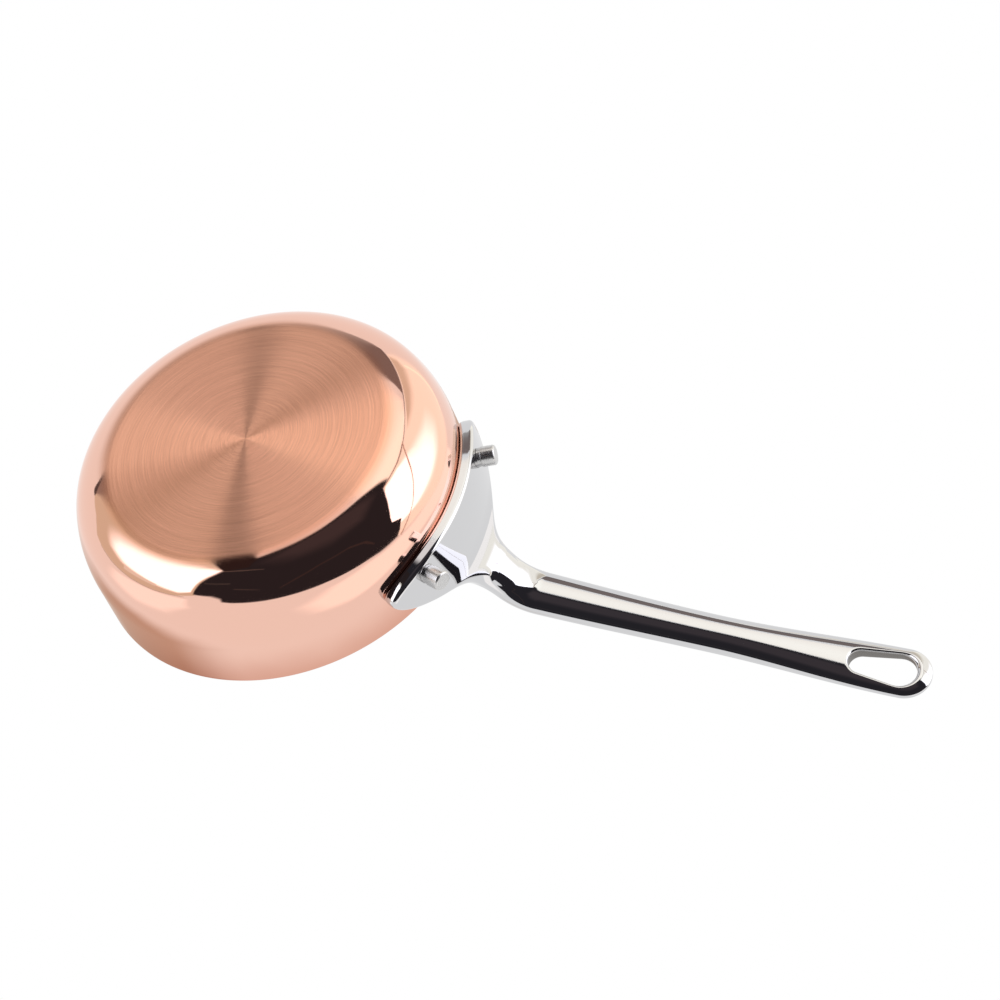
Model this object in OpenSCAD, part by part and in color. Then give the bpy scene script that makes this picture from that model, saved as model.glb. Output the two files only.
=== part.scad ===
// Low copper saucepan with a steel lining and a cast steel handle.
// The origin is the centre of the flat underside, +Z points up to the rim, and the handle runs along +X.

/* [Pan body] */
// Outer diameter at the rim
rim_d = 160; // [140:1:200]
// Height from the flat underside to the rim
pan_h = 52; // [44:1:80]
// Outer radius of the turned corner between the underside and the wall
corner_r = 21.5; // [16:0.5:24]
// Outer radius of the belly that carries the corner up into the straight wall
belly_r = 48; // [36:1:52]
// Lean of the wall from upright where the corner ends and the belly starts, in degrees
corner_lean = 21; // [16:1:26]
// How far the rim opens outwards beyond the straight wall
flare_w = 0.4; // [0.1:0.1:1.5]
// Rounding of the copper's outer edge at the rim
rim_edge_r = 0.5; // [0.2:0.1:0.8]

/* [Layers] */
// Thickness of the copper skin
copper_t = 1.7; // [1:0.1:2.5]
// Thickness of the steel lining that is bonded to the copper
lining_t = 0.3; // [0.2:0.05:0.8]

/* [Handle flange] */
// Width of the flange, measured along the wall
flange_w = 95; // [80:0.2:104]
// Thickness of the flange at its lower edge, from which it thickens up to the neck
flange_t = 5.5; // [4:0.25:7]
// Depth of the flange's lower edge below the rim
flange_drop_h = 25.3; // [23:0.1:30]
// Length, along the wall, of the rounded lower corner of the flange
flange_corner_w = 35; // [20:1:40]
// Height of the rounded lower corner of the flange
flange_corner_h = 7.5; // [5:0.5:9]
// Height of the rounding along the flange's lower edge
flange_sole_h = 2.4; // [1.5:0.1:3]
// Depth of that rounding, measured out from the wall
flange_sole_d = 4; // [2.5:0.1:4]
// Rounding of the flange's other edges
flange_edge_r = 1.8; // [1:0.1:2]
// Length over which the flange falls away towards the neck
flange_fall_l = 18.7; // [16:0.5:22]

/* [Handle neck] */
// Height that the casting climbs along the wall before it turns outwards
rise_h = 20.3; // [18:0.1:28]
// Radius of the first, slow turn of the neck
lift_r = 38; // [32:1:50]
// Angle of the first turn, in degrees
lift_turn = 33; // [28:1:40]
// Length of the straight stretch between the neck's two turns
neck_l = 8; // [4:0.5:14]
// Radius of the second turn, into the grip
crook_r = 20; // [16:1:28]
// Slope of the grip where the neck ends, in degrees
grip_slope = 11; // [6:1:16]
// Width of the neck
neck_w = 19.4; // [16:0.2:23]
// Thickness of the neck
neck_t = 9.4; // [8:0.1:11]
// Height of the blunt nose in which the round grip runs out on the flange's flat face
nose_h = 0.8; // [0.2:0.1:1.4]
// Length over which the nose rises
nose_l = 5; // [3:0.5:8]
// Width of the nose
nose_w = 16; // [10:0.5:18]

/* [Handle grip] */
// Length of the grip from the neck to its tip, along its curve
grip_l = 159; // [140:1:190]
// Radius of the grip's slow arch
grip_arch_r = 1600; // [1000:50:3000]
// Width of the grip at its waist
waist_w = 16.6; // [14:0.2:19]
// Thickness of the grip at its waist
waist_t = 9; // [7.5:0.1:11]

/* [Hanging loop] */
// Width of the loop at the end of the grip
loop_w = 22; // [20:0.2:26]
// Thickness of the loop
loop_t = 6.6; // [5:0.1:8]
// Width of the hanging hole at its wide end
hole_w = 14.4; // [11:0.2:16]
// Width of the hanging hole at its narrow end
hole_narrow_w = 10.4; // [7:0.2:11]
// Length of the hanging hole
hole_l = 27; // [22:0.2:31]
// Steel between the hanging hole and the tip
tip_t = 6; // [4:0.1:7]
// Rounding of the hole's lips along its sides
lip_r = 0.7; // [0.4:0.1:1]
// Rounding of the hole's lips at the tip
tip_lip_r = 2.4; // [1:0.1:2.8]

/* [Rivets] */
// Diameter of the rivet's shank
shank_d = 6.4; // [5:0.1:7]
// Diameter of the low domed head inside the pan
head_d = 14; // [12:0.5:18]
// Height of the domed head
head_h = 2.4; // [1.5:0.1:3]
// Diameter of the stub that stands out of the flange
stub_d = 8.2; // [7.8:0.1:9]
// Length of the stub
stub_l = 7.4; // [5:0.1:9]
// Depth of the flat seat that is cut into the flange under the stub
stub_seat_h = 0.3; // [0.2:0.05:0.6]
// Rounding of the stub's end
stub_edge_r = 1; // [0.5:0.1:1.5]
// Diameter of the stub's narrower root
root_d = 7.6; // [7.2:0.1:7.8]
// Length of the stub's narrower root
root_l = 1.6; // [0.8:0.1:2]
// Height of the rivets above the flange's lower edge
rivet_h = 8.3; // [7:0.1:12]
// Distance from each end of the flange to its rivet, measured along the wall
rivet_end_l = 20.2; // [16:0.2:26]
// Gap between a rivet's shank and its hole
rivet_gap = 0.05; // [0.02:0.01:0.2]

/* [Hidden] */
$fn = 96;

// Overrun of every cut past the face that it leaves
cut_l = 6;
// Flats in a quarter of an edge, in the pan's corner, in the belly and in the lips of the hole
edge_steps = 5;
corner_steps = 14;
belly_steps = 8;
lip_steps = 4;
// Flats across the face of the handle between its edges, beside the hole, and round the tip
face_steps = 6;
side_steps = 6;
tip_steps = 14;
// Rings from the outside of the loop in to the lip
loop_steps = 7;

// Pan body
wall_r = rim_d / 2 - flare_w;
belly = [wall_r - belly_r, corner_r * (1 - sin(corner_lean)) + belly_r * sin(corner_lean)];
base_r = wall_r - belly_r * (1 - cos(corner_lean)) - corner_r * cos(corner_lean);
body_t = copper_t + lining_t;
flange_z = pan_h - flange_drop_h;

// Points of an arc, from angle a to angle b
function arc(centre, r, a, b, steps) =
    [for (i = [0 : steps]) let (t = a + (b - a) * i / steps) centre + r * [cos(t), sin(t)]];

// Half section of the pan's surface, at a depth under its outside, from the underside to the rim
function pan_curve(depth, edge = 0) = concat(
    [[0, depth]],
    arc([base_r, corner_r], corner_r - depth, -90, -corner_lean, corner_steps),
    arc(belly, belly_r - depth, -corner_lean, 0, belly_steps),
    [
        [wall_r + flare_w - depth, pan_h - edge],
        [wall_r + flare_w - depth - edge, pan_h]
    ]
);

function reversed(list) = [for (i = [len(list) - 1 : -1 : 0]) list[i]];

// Drops the points of a curve that repeat the one before
function distinct(list) = [for (i = [0 : len(list) - 1]) if (i == 0 || norm(list[i] - list[i - 1]) > 0) list[i]];

// One bonded layer of the pan, between two depths
module pan_layer(outer, inner, edge) {
    rotate_extrude()
        polygon(distinct(concat(pan_curve(outer, edge), reversed(pan_curve(inner)))));
}

// The space that the pan's surface encloses at a depth, run up past the rim
module pan_space(depth) {
    rim = wall_r + flare_w - depth;
    rotate_extrude()
        polygon(distinct(concat(pan_curve(depth), [[rim, pan_h + cut_l], [0, pan_h + cut_l]])));
}

rivet_z = flange_z + rivet_h;
rivet_angle = (flange_w / 2 - rivet_end_l) / wall_r * 180 / PI;

// Places its children on the axis of a rivet: side is 1 or -1, +Z points out of the pan
module at_rivet(side) {
    rotate([0, 0, side * rivet_angle])
        translate([0, 0, rivet_z])
            rotate([0, 90, 0])
                children();
}

module rivet_holes() {
    for (side = [-1, 1])
        at_rivet(side)
            translate([0, 0, wall_r - body_t - cut_l])
                cylinder(d = shank_d + 2 * rivet_gap, h = body_t + neck_t + 2 * cut_l);
}

// The flat seats of the rivets' stubs on the crowned flange
module stub_seats() {
    for (side = [-1, 1])
        at_rivet(side)
            translate([0, 0, stub_z])
                cylinder(d = root_d + 2 * rivet_gap, h = neck_t);
}

module copper_shell() {
    color("#c98263")
        difference() {
            pan_layer(0, copper_t, rim_edge_r);
            rivet_holes();
        }
}

module steel_lining() {
    color("#c9c8c4")
        difference() {
            pan_layer(copper_t, body_t, 0);
            rivet_holes();
        }
}

// Handle: a bar is swept along a path that climbs the wall, turns out over two arcs and runs along
// the slow arch of the grip. s is the length along that path from the lower edge of the flange.
path_r = wall_r + flange_t / 2;
lift_l = lift_r * lift_turn * PI / 180;
crook_l = crook_r * (90 - lift_turn - grip_slope) * PI / 180;
lift_s = rise_h;
neck_s = lift_s + lift_l;
crook_s = neck_s + neck_l;
grip_s = crook_s + crook_l;
tip_s = grip_s + grip_l;

// Where the path is after a turn of radius r and length l from a place [x, z, slope]
function turned(from, r, l) =
    let (slope = from[2] - l / r * 180 / PI)
    [from[0] + r * (sin(from[2]) - sin(slope)), from[1] + r * (cos(slope) - cos(from[2])), slope];

lift_start = [path_r, flange_z + rise_h, 90];
neck_start = turned(lift_start, lift_r, lift_l);

// Where the path is after a straight stretch of length l
function run_on(from, l) = from + l * [cos(from[2]), sin(from[2]), 0];

crook_start = run_on(neck_start, neck_l);
grip_start = turned(crook_start, crook_r, crook_l);
function path(s) =
    s < lift_s ? [path_r, flange_z + s, 90] :
    s < neck_s ? turned(lift_start, lift_r, s - lift_s) :
    s < crook_s ? run_on(neck_start, s - neck_s) :
    s < grip_s ? turned(crook_start, crook_r, s - crook_s) :
    turned(grip_start, grip_arch_r, s - grip_s);

// 0 before a, 1 after b and a smooth step between them
function ease(s, a, b) =
    let (t = min(max((s - a) / (b - a), 0), 1)) t * t * (3 - 2 * t);
function mix(a, b, t) = a + (b - a) * t;

// The waist lies midway along the grip, and the loop is as wide as it gets level with its tip's centre
waist_share = 0.46;
waist_s = mix(grip_s, tip_s, waist_share);
tip_r = loop_w / 2;
loop_s = tip_s - tip_r;

// Half width of the casting
taper_power = 2.2;
function half_width(s) =
    s < flange_corner_h
    ? flange_w / 2 - flange_corner_w * (1 - sin(acos(1 - s / flange_corner_h)))
    : s < waist_s
    ? mix(neck_w, waist_w, ease(s, crook_s, waist_s)) / 2
        + (flange_w - neck_w) / 2 * exp(-pow((s - flange_corner_h) / flange_fall_l, taper_power))
    : mix(waist_w, loop_w, ease(s, waist_s, loop_s)) / 2;

// Drop of the surface near an edge: e is the distance in from the edge
function drop(e, across, down) =
    e >= across ? 0 : down * (1 - sqrt(max(1 - pow((across - e) / across, 2), 0)));

// The flange is crowned: it thickens fast above its lower edge, then ever more slowly up to the neck
crown_power = 3;
function crown(s) = 1 - pow(1 - min(max((s - flange_sole_h) / (neck_s - flange_sole_h), 0), 1), crown_power);

// Half thickness of the casting, on the side that faces away from the pan and down
function half_under(s) =
    s < crook_s
    ? mix(flange_t, neck_t, crown(s)) / 2 - drop(s, flange_sole_h, flange_sole_d)
    : s < waist_s
    ? mix(neck_t, waist_t, ease(s, grip_s, waist_s)) / 2
    : mix(waist_t, loop_t, ease(s, waist_s, loop_s)) / 2;

// Half thickness on the side of the wall, which runs into the wall until it is cut to fit it
bite_t = 2.5;
bite_l = 8;
function half_over(s) = half_under(max(s, flange_sole_h)) + bite_t * (1 - ease(s, lift_s, lift_s + bite_l));

// The flange's small edges open out into the round section of the grip
round_share = 0.8;
function roundness(s) = ease(s, lift_s, crook_s);
function edge_across(s) = mix(flange_edge_r, half_width(s) * round_share, roundness(s));
function edge_down(s, half) = mix(min(flange_edge_r, half * round_share), half * (1 + round_share) / 2, roundness(s));

// The nose: the grip's round underside meets the flange's flat face in a crease, and fades along the grip
nose_from_share = 0.78;
nose_s = mix(lift_s, neck_s, nose_from_share);
function nose(s, w) =
    let (rise = min(max((s - nose_s) / nose_l, 0), 1) * (1 - ease(s, nose_s + nose_l, grip_s)))
    nose_h * max(rise - pow(2 * w / nose_w, 2), 0);

// The flange bends round the pan, and the grip is left with next to no bend
least_bend_share = 0.001;
function bend(s) = max(1 - ease(s, lift_s, grip_s), least_bend_share) / path_r;

// A place on the casting: s along the path, w across it, n out of it on the under side
function place(s, w, n) =
    let (
        p = path(s),
        k = bend(s),
        a = w * k * 180 / PI,
        out = (1 / k + n) * cos(a) - 1 / k
    )
    [p[0] + out * sin(p[2]), (1 / k + n) * sin(a), p[1] - out * cos(p[2])];

// Distances across the face of a section, from one edge to the other
face_count = 2 * edge_steps + face_steps;
function across(s, i) =
    let (w = half_width(s), e = edge_across(s))
    i <= edge_steps ? -w + e * (1 - cos(90 * i / edge_steps)) :
    i < edge_steps + face_steps ? mix(-w + e, w - e, (i - edge_steps) / face_steps) :
    w - e * (1 - cos(90 * (face_count - i) / edge_steps));

// One side of a section, as a row of points: side is 1 under the handle and -1 over it
function section_side(s, side) =
    let (half = side > 0 ? half_under(s) : half_over(s))
    [for (i = [0 : face_count])
        let (w = across(s, i), e = half_width(s) - abs(w), more = side > 0 ? nose(s, w) : 0)
        place(s, w, side * (half + more - drop(e, edge_across(s), edge_down(s, half))))
    ];
function section(s) = concat(section_side(s, 1), reversed(section_side(s, -1)));

// Stations of the sections: close together round the flange's lower corner, then evenly spaced
hole_s = tip_s - tip_t - hole_l;
join_l = 5.4;
join_s = hole_s - join_l;
corner_count = 8;
flange_count = 8;
neck_count = 26;
grip_count = 16;
stations = concat(
    [for (i = [0 : corner_count - 1]) flange_corner_h * (1 - cos(90 * i / corner_count))],
    [for (i = [0 : flange_count - 1]) mix(flange_corner_h, lift_s, i / flange_count)],
    [for (i = [0 : neck_count - 1]) mix(lift_s, grip_s, i / neck_count)],
    [for (i = [0 : grip_count]) mix(grip_s, join_s, i / grip_count)]
);
ring = 2 * (face_count + 1);
last_ring = (len(stations) - 1) * ring;

// Loop: a sheet of rings on each side, from the outside of the loop in to the hole.
// Its outline starts across the grip, then goes down one side, round the tip and up the other.
wide_r = hole_w / 2;
narrow_r = hole_narrow_w / 2;
wide_s = tip_s - tip_t - wide_r;
narrow_s = hole_s + narrow_r;
hole_lean = asin((wide_r - narrow_r) / (wide_s - narrow_s));
outline_count = face_count + 2 * side_steps + tip_steps;
function outline(k) =
    k <= face_count ? [join_s, across(join_s, k)] :
    k <= face_count + side_steps
    ? let (s = mix(join_s, loop_s, (k - face_count) / side_steps)) [s, half_width(s)] :
    k < face_count + side_steps + tip_steps
    ? let (a = 90 - 180 * (k - face_count - side_steps) / tip_steps) [loop_s, 0] + tip_r * [cos(a), sin(a)] :
    let (s = mix(loop_s, join_s, (k - face_count - side_steps - tip_steps) / side_steps)) [s, -half_width(s)];

// The hole's lips are rounded more and more towards the tip
most_lip_share = 0.4;
tip_lip = min(tip_lip_r, loop_t * most_lip_share);
function tip_turn(k) = mix(90 + hole_lean, -90 - hole_lean, (k - face_count - side_steps) / tip_steps);
function lip(k) =
    k <= face_count + side_steps || k >= face_count + side_steps + tip_steps ? lip_r :
    mix(lip_r, tip_lip, max(cos(tip_turn(k)), 0));

// The hole's outline, opened by a share of its lips: an arc at each end and straight sides
function hole(k, share) =
    let (
        near = [narrow_s, 0],
        far = [wide_s, 0],
        turn = 90 + hole_lean,
        more = share * lip(k)
    )
    k <= face_count
    ? let (a = mix(-turn, -360 + turn, k / face_count)) near + (narrow_r + more) * [cos(a), sin(a)] :
    k <= face_count + side_steps
    ? mix(near + (narrow_r + more) * [cos(turn), sin(turn)], far + (wide_r + more) * [cos(turn), sin(turn)],
        (k - face_count) / side_steps) :
    k < face_count + side_steps + tip_steps
    ? let (a = tip_turn(k)) far + (wide_r + more) * [cos(a), sin(a)] :
    mix(far + (wide_r + more) * [cos(turn), -sin(turn)], near + (narrow_r + more) * [cos(turn), -sin(turn)],
        (k - face_count - side_steps - tip_steps) / side_steps);

// Distance in from the outside of the handle
function inset(p) = p[0] < loop_s ? half_width(p[0]) - abs(p[1]) : tip_r - norm(p - [loop_s, 0]);

sheet_count = loop_steps + lip_steps;
function sheet_point(j, k) =
    j <= loop_steps
    ? mix(outline(k), hole(k, 1), 1 - cos(90 * j / loop_steps))
    : hole(k, 1 - sin(90 * (j - loop_steps) / lip_steps));
function lip_drop(j, k) = j <= loop_steps ? 0 : lip(k) * (1 - cos(90 * (j - loop_steps) / lip_steps));
function sheet(side) = [for (j = [0 : sheet_count], k = [0 : outline_count - 1])
    let (
        p = sheet_point(j, k),
        s = min(p[0], loop_s),
        half = side > 0 ? half_under(s) : half_over(s),
        n = half - drop(inset(p), edge_across(s), edge_down(s, half)) - lip_drop(j, k)
    )
    place(p[0], p[1], side * n)
];

// Index of a point: a sheet's first row is shared with the last section where it crosses the grip
under_start = last_ring + ring;
over_start = under_start + (sheet_count + 1) * outline_count;
function under(j, k) =
    let (m = k % outline_count)
    j == 0 && m <= face_count ? last_ring + m : under_start + j * outline_count + m;
function over(j, k) =
    let (m = k % outline_count)
    j == 0 && m <= face_count ? last_ring + ring - 1 - m : over_start + j * outline_count + m;

// Two triangles for each square between points a, b, c and d
function square_faces(a, b, c, d) = [[a, b, c], [a, c, d]];

casting_points = concat([for (s = stations) each section(s)], sheet(1), sheet(-1));
casting_faces = concat(
    [for (i = [1 : ring - 2]) [0, i + 1, i]],
    [for (i = [0 : len(stations) - 2], k = [0 : ring - 1])
        let (n = (k + 1) % ring)
        each square_faces(i * ring + k, i * ring + n, (i + 1) * ring + n, (i + 1) * ring + k)
    ],
    [for (j = [0 : sheet_count - 1], k = [0 : outline_count - 1])
        each square_faces(under(j, k), under(j, k + 1), under(j + 1, k + 1), under(j + 1, k))
    ],
    [for (j = [0 : sheet_count - 1], k = [0 : outline_count - 1])
        each square_faces(over(j, k + 1), over(j, k), over(j + 1, k), over(j + 1, k + 1))
    ],
    [for (k = [0 : outline_count - 1])
        each square_faces(under(sheet_count, k), under(sheet_count, k + 1), over(sheet_count, k + 1), over(sheet_count, k))
    ],
    [for (k = [face_count : outline_count - 1])
        each square_faces(under(0, k + 1), under(0, k), over(0, k), over(0, k + 1))
    ]
);

module handle() {
    color("#d4d4d2")
        difference() {
            polyhedron(points = casting_points, faces = casting_faces);
            pan_space(0);
            rivet_holes();
            stub_seats();
        }
}

// Half section of a rivet, from the crown of its head along its axis to the end of its stub
head_z = wall_r - body_t - head_h;
seat_z = wall_r - body_t;
crown_r = (pow(head_d / 2, 2) + pow(head_h, 2)) / (2 * head_h);
crown_turn = asin(head_d / 2 / crown_r);
stub_z = path_r + half_under(rivet_h) - stub_seat_h;
end_z = stub_z + stub_l;
shank_start_share = 0.5;
shank_z = mix(head_z, seat_z, shank_start_share);
crown_steps = 8;

module rivet(side) {
    color("#bdbab6") {
        at_rivet(side)
            translate([0, 0, shank_z])
                cylinder(d = shank_d, h = end_z - shank_z);
        intersection() {
            at_rivet(side)
                rotate_extrude()
                    polygon(concat(
                        reversed(arc([0, head_z + crown_r], crown_r, -90, crown_turn - 90, crown_steps)),
                        [[0, seat_z + head_h], [head_d / 2, seat_z + head_h]]
                    ));
            pan_space(body_t);
        }
        at_rivet(side)
            rotate_extrude()
                polygon(concat(
                    [
                        [0, stub_z],
                        [root_d / 2, stub_z],
                        [root_d / 2, stub_z + root_l],
                        [stub_d / 2, stub_z + root_l]
                    ],
                    arc([stub_d / 2 - stub_edge_r, end_z - stub_edge_r], stub_edge_r, 0, 90, edge_steps),
                    [[0, end_z]]
                ));
    }
}

module rivet_left() {
    rivet(-1);
}

module rivet_right() {
    rivet(1);
}

copper_shell();
steel_lining();
handle();
rivet_left();
rivet_right();
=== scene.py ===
from math import acos, asin, cos, exp, hypot, pi, radians, sin, sqrt, tan

import bmesh
import bpy
from mathutils import Matrix, Vector


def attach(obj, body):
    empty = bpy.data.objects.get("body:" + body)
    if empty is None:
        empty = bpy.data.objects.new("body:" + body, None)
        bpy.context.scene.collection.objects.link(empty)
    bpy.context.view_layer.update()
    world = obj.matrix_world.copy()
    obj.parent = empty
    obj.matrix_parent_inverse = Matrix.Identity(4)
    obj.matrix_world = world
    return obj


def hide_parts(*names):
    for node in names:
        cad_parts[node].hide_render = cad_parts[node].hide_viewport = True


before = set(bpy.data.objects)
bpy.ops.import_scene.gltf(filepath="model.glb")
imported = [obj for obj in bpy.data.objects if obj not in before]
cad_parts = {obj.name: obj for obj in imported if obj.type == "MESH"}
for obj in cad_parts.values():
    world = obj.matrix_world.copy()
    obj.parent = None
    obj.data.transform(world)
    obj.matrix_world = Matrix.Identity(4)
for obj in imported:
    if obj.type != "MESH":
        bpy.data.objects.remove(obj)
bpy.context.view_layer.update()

# The camera looks up at the underside from below the handle's side, as the photograph does, which
# shows the pan turned over. It is a long lens, and everything is in metres, in the pan's own frame.
camera_right = Vector((0.9115, -0.3228, 0.2549)).normalized()
camera_ahead = Vector((-0.3957, -0.5189, 0.7577)).normalized()
camera_up = camera_right.cross(camera_ahead)
camera_right = camera_ahead.cross(camera_up)
lens = bpy.data.cameras.new("camera")
lens.lens = 93.6
lens.sensor_width = 36.0
lens.clip_end = 20.0
camera_place = (0.49976, 0.51855, -0.73641)
camera_turn = Matrix((camera_right, camera_up, -camera_ahead)).transposed()
camera = bpy.data.objects.new("camera", lens)
camera.matrix_world = Matrix.Translation(camera_place) @ camera_turn.to_4x4()
bpy.context.scene.collection.objects.link(camera)
bpy.context.scene.camera = camera
bpy.context.scene.view_settings.view_transform = "Standard"

# The worktop under the pan is a plain pale sheet. It is seen from above only, so that the camera
# under it looks through to the pan, and it catches the pan's shadow without shading its underside.
floor_size = 3.0
floor_drop = 0.0006
floor_ways = ((-1, -1), (1, -1), (1, 1), (-1, 1))
floor_corners = [(x * floor_size, y * floor_size, -floor_drop) for x, y in floor_ways]
floor_mesh = bpy.data.meshes.new("floor")
floor_mesh.from_pydata(floor_corners, [], [(0, 1, 2, 3)])
floor = bpy.data.objects.new("floor", floor_mesh)
bpy.context.scene.collection.objects.link(floor)
floor.visible_diffuse = floor.visible_glossy = floor.visible_transmission = floor.visible_shadow = False
pale = bpy.data.materials.new("pale_worktop")
pale.use_nodes = True
pale_nodes, pale_links = pale.node_tree.nodes, pale.node_tree.links
pale_sheet = pale_nodes["Principled BSDF"]
pale_sheet.inputs["Base Color"].default_value = (0.86, 0.86, 0.86, 1)
pale_sheet.inputs["Roughness"].default_value = 0.75
from_below = pale_nodes.new("ShaderNodeNewGeometry")
see_through = pale_nodes.new("ShaderNodeBsdfTransparent")
one_sided = pale_nodes.new("ShaderNodeMixShader")
pale_links.new(from_below.outputs["Backfacing"], one_sided.inputs["Fac"])
pale_links.new(pale_sheet.outputs["BSDF"], one_sided.inputs[1])
pale_links.new(see_through.outputs["BSDF"], one_sided.inputs[2])
pale_links.new(one_sided.outputs["Shader"], pale_nodes["Material Output"].inputs["Surface"])
floor_mesh.materials.append(pale)

# The room is pale all round, with a dark opening on the camera's side between two big soft lights. These are
# sheets and bars far out that only the metal mirrors. Their corners are given by where the pan's round corner
# shows them: the azimuth and tilt of the copper there, and the width of the soft border, in degrees.
room = bpy.data.worlds.new("pale_room")
room.use_nodes = True
room.node_tree.nodes["Background"].inputs["Color"].default_value = (1, 1, 1, 1)
room.node_tree.nodes["Background"].inputs["Strength"].default_value = 1.0
bpy.context.scene.world = room
room_middle = Vector((0.03, 0.0, 0.03))
disc_edge_r, round_corner_r, mirror_reach = 0.0563, 0.0215, 4.0


def mirrored(azimuth, tilt):
    """The way from the room's middle to what the camera sees in one spot of the pan's round corner, where
    the copper is turned by that tilt towards the azimuth. With no tilt, the spot is the disc's middle."""
    a, t = radians(azimuth), radians(tilt)
    out = disc_edge_r + round_corner_r * sin(t) if tilt else 0.0
    spot = Vector((out * cos(a), out * sin(a), round_corner_r * (1 - cos(t))))
    facing = Vector((sin(t) * cos(a), sin(t) * sin(a), -cos(t)))
    look = (spot - camera.matrix_world.translation).normalized()
    seen = spot + mirror_reach * (look - 2 * look.dot(facing) * facing)
    return (seen - room_middle).normalized()


def studio_cloth(name, colour, points, faces, covers):
    """A glowing piece of the room, which is clear where its points have no cover."""
    mesh = bpy.data.meshes.new(name)
    mesh.from_pydata(points, [], faces)
    mesh.attributes.new("cover", "FLOAT", "POINT").data.foreach_set("value", covers)
    cloth = bpy.data.materials.new(name)
    cloth.use_nodes = True
    nodes, links = cloth.node_tree.nodes, cloth.node_tree.links
    nodes.remove(nodes["Principled BSDF"])
    glow = nodes.new("ShaderNodeEmission")
    glow.inputs["Color"].default_value = (*colour, 1)
    clear = nodes.new("ShaderNodeBsdfTransparent")
    border_fade = nodes.new("ShaderNodeAttribute")
    border_fade.attribute_name = "cover"
    soft = nodes.new("ShaderNodeMapRange")
    soft.interpolation_type = "SMOOTHSTEP"
    links.new(border_fade.outputs["Fac"], soft.inputs["Value"])
    sheet_mix = nodes.new("ShaderNodeMixShader")
    links.new(soft.outputs["Result"], sheet_mix.inputs["Fac"])
    links.new(clear.outputs["BSDF"], sheet_mix.inputs[1])
    links.new(glow.outputs["Emission"], sheet_mix.inputs[2])
    links.new(sheet_mix.outputs["Shader"], nodes["Material Output"].inputs["Surface"])
    mesh.materials.append(cloth)
    sheet = bpy.data.objects.new(name, mesh)
    bpy.context.scene.collection.objects.link(sheet)
    sheet.visible_camera = False


ring_shares, least_share = (0.25, 0.5, 0.75, 1.0), 0.2
ring_count = len(ring_shares) + 2


def studio_sheet(name, colour, reach, middle, corners):
    """A sheet round a middle spot. Each corner has an azimuth, a tilt and the width of its soft border.
    Its rings lie at shares of the full part, and at the middle and the end of the border."""
    centre = mirrored(*middle)
    rings = [[] for _ in range(ring_count)]
    for azimuth, tilt, border in corners:
        corner = mirrored(azimuth, tilt)
        outward = (corner - centre * corner.dot(centre)).normalized()
        angle, half = corner.angle(centre), radians(border) / 2
        inner = max(angle - half, angle * least_share)
        turns = [inner * share for share in ring_shares] + [angle, angle + half]
        for row, turn in zip(rings, turns):
            row.append(room_middle + (centre * cos(turn) + outward * sin(turn)) * reach)
    count = len(corners)
    faces = [(0, 1 + k, 1 + (k + 1) % count) for k in range(count)]
    for i in range(ring_count - 1):
        low, high = 1 + i * count, 1 + (i + 1) * count
        faces += [(low + k, high + k, high + (k + 1) % count, low + (k + 1) % count) for k in range(count)]
    covers = [1.0] * (len(ring_shares) * count + 1) + [0.5] * count + [0.0] * count
    studio_cloth(name, colour, [room_middle + centre * reach] + sum(rings, []), faces, covers)


bar_shares = ((-1.4, 0.0), (-0.6, 1.0), (0.6, 1.0), (1.4, 0.0))


def studio_bar(name, colour, reach, spots):
    """A thin bar through the given spots. Each spot has an azimuth, a tilt and the bar's width in degrees.
    Across the bar, each share of its half width has its cover."""
    ways = [mirrored(azimuth, tilt) for azimuth, tilt, _ in spots]
    points, faces, covers = [], [], []
    for i, way in enumerate(ways):
        along = ways[min(i + 1, len(ways) - 1)] - ways[max(i - 1, 0)]
        beside = way.cross(along).normalized()
        half = radians(spots[i][2]) / 2
        for share, cover in bar_shares:
            points.append(room_middle + (way + beside * half * share) * reach)
            covers.append(cover)
        if i:
            faces += [(4 * i - 4 + k, 4 * i - 3 + k, 4 * i + 1 + k, 4 * i + k) for k in range(3)]
    studio_cloth(name, colour, points, faces, covers)


studio_sheet(
    "dark_opening", (0.025, 0.023, 0.028), 3.6, (50, 34),
    [
        (75, 19.5, 2), (78, 23, 1), (81, 27, 1), (83, 31, 1), (84.5, 36, 1), (85.5, 41, 1), (85.7, 43.5, 2),
        (80, 45, 5), (77, 48, 4), (76.5, 51.5, 3), (74, 53, 2), (70, 54.7, 2), (64, 57, 2), (55, 60, 2),
        (45, 63.5, 2), (35, 67.5, 2), (27, 70, 1.5), (20, 70.8, 1.5), (18, 69, 1), (17, 66, 1),
        (15.5, 62.5, 1), (19.3, 61, 1), (18, 53, 1), (16, 45, 1), (13.7, 36, 1), (12, 29, 1), (8, 27, 3),
        (11, 22, 3), (15, 18.5, 3), (20, 15.5, 3), (28, 13.5, 3), (37, 12.5, 3), (46, 11.5, 3), (55, 11, 3),
        (63, 12, 3), (69, 15, 3),
    ],
)
studio_sheet(
    "opening_edge", (0.056, 0.046, 0.052), 3.55, (33, 22),
    [
        (17, 26, 10), (20, 20, 8), (28, 16, 6), (40, 14.5, 6), (52, 14.5, 8), (58, 19, 14), (49, 26, 20),
        (37, 31, 22), (25, 33, 16),
    ],
)
studio_bar(
    "stand_arm", (0.11, 0.095, 0.09), 3.5,
    [(61, 26, 0.5), (65, 23.5, 1), (70, 21.5, 1.4), (75, 20.3, 1.4)],
)
studio_bar("stand_clamp", (0.085, 0.08, 0.08), 3.5, [(73, 33.6, 1.2), (77, 32.6, 1.2), (82, 31.8, 1)])
studio_bar("stand_leg", (0.07, 0.06, 0.06), 3.5, [(64, 45, 0.5), (68, 42, 1.2), (72, 39.5, 1.2)])
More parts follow.
